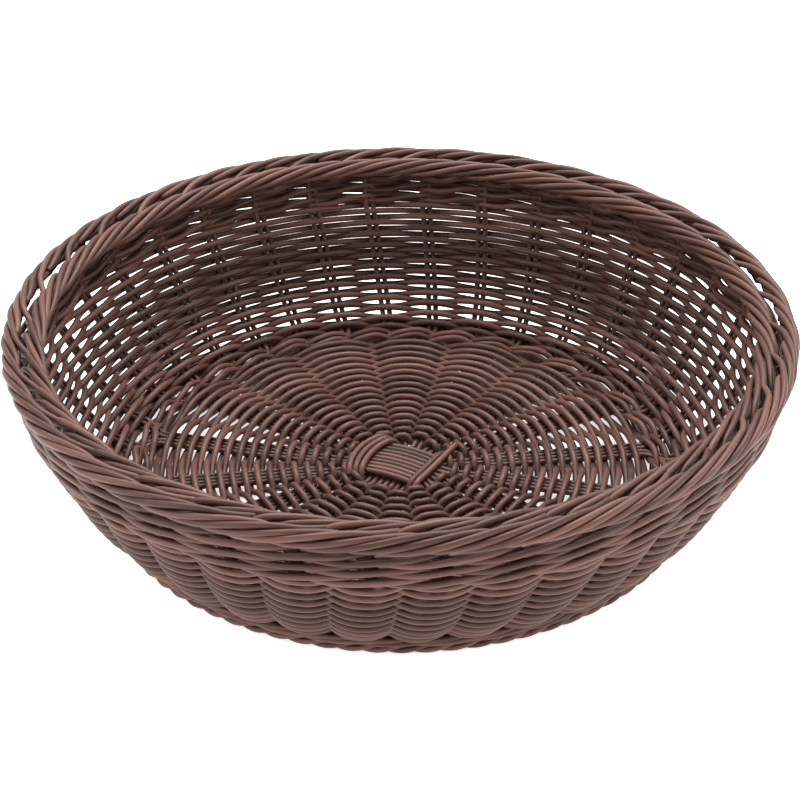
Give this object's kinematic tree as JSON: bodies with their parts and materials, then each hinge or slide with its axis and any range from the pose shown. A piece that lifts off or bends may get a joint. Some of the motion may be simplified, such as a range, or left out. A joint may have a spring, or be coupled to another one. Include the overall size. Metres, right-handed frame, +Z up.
{
  "type": "woven fruit basket",
  "caption": "Low round woven basket with sloping sides, a plaited two-ridge border and a twisted foot, in dark brown plastic strand.",
  "frame": {"origin": "centre of the base at floor level", "axes": "+Z up through the centre of the open top, +X and +Y across the basket"},
  "size_m": [0.4, 0.4, 0.098],
  "materials": {
    "rods": "satin, fine lengthwise streaks",
    "weavers": "satin, fine lengthwise streaks",
    "border": "satin, fine lengthwise streaks"
  },
  "bodies": {
    "root": {"centre_rods_over": "rods", "centre_rods_under": "rods", "centre_binding": "weavers", "centre_spokes": "rods", "inserted_spokes": "rods", "base_weave_inner": "weavers", "base_weave_outer": "weavers", "base_edge_wale": "weavers", "foot_stakes": "rods", "foot_wale": "weavers", "foot_rope": "border", "side_stakes_left": "rods", "side_stakes_right": "rods", "wall_weave_lower": "weavers", "wall_weave_middle": "weavers", "wall_weave_upper": "weavers", "top_wale_lower": "weavers", "top_wale_middle": "weavers", "top_wale_upper": "weavers", "border_inner_ridge": "border", "border_outer_ridge": "border"}
  },
  "joints": []
}
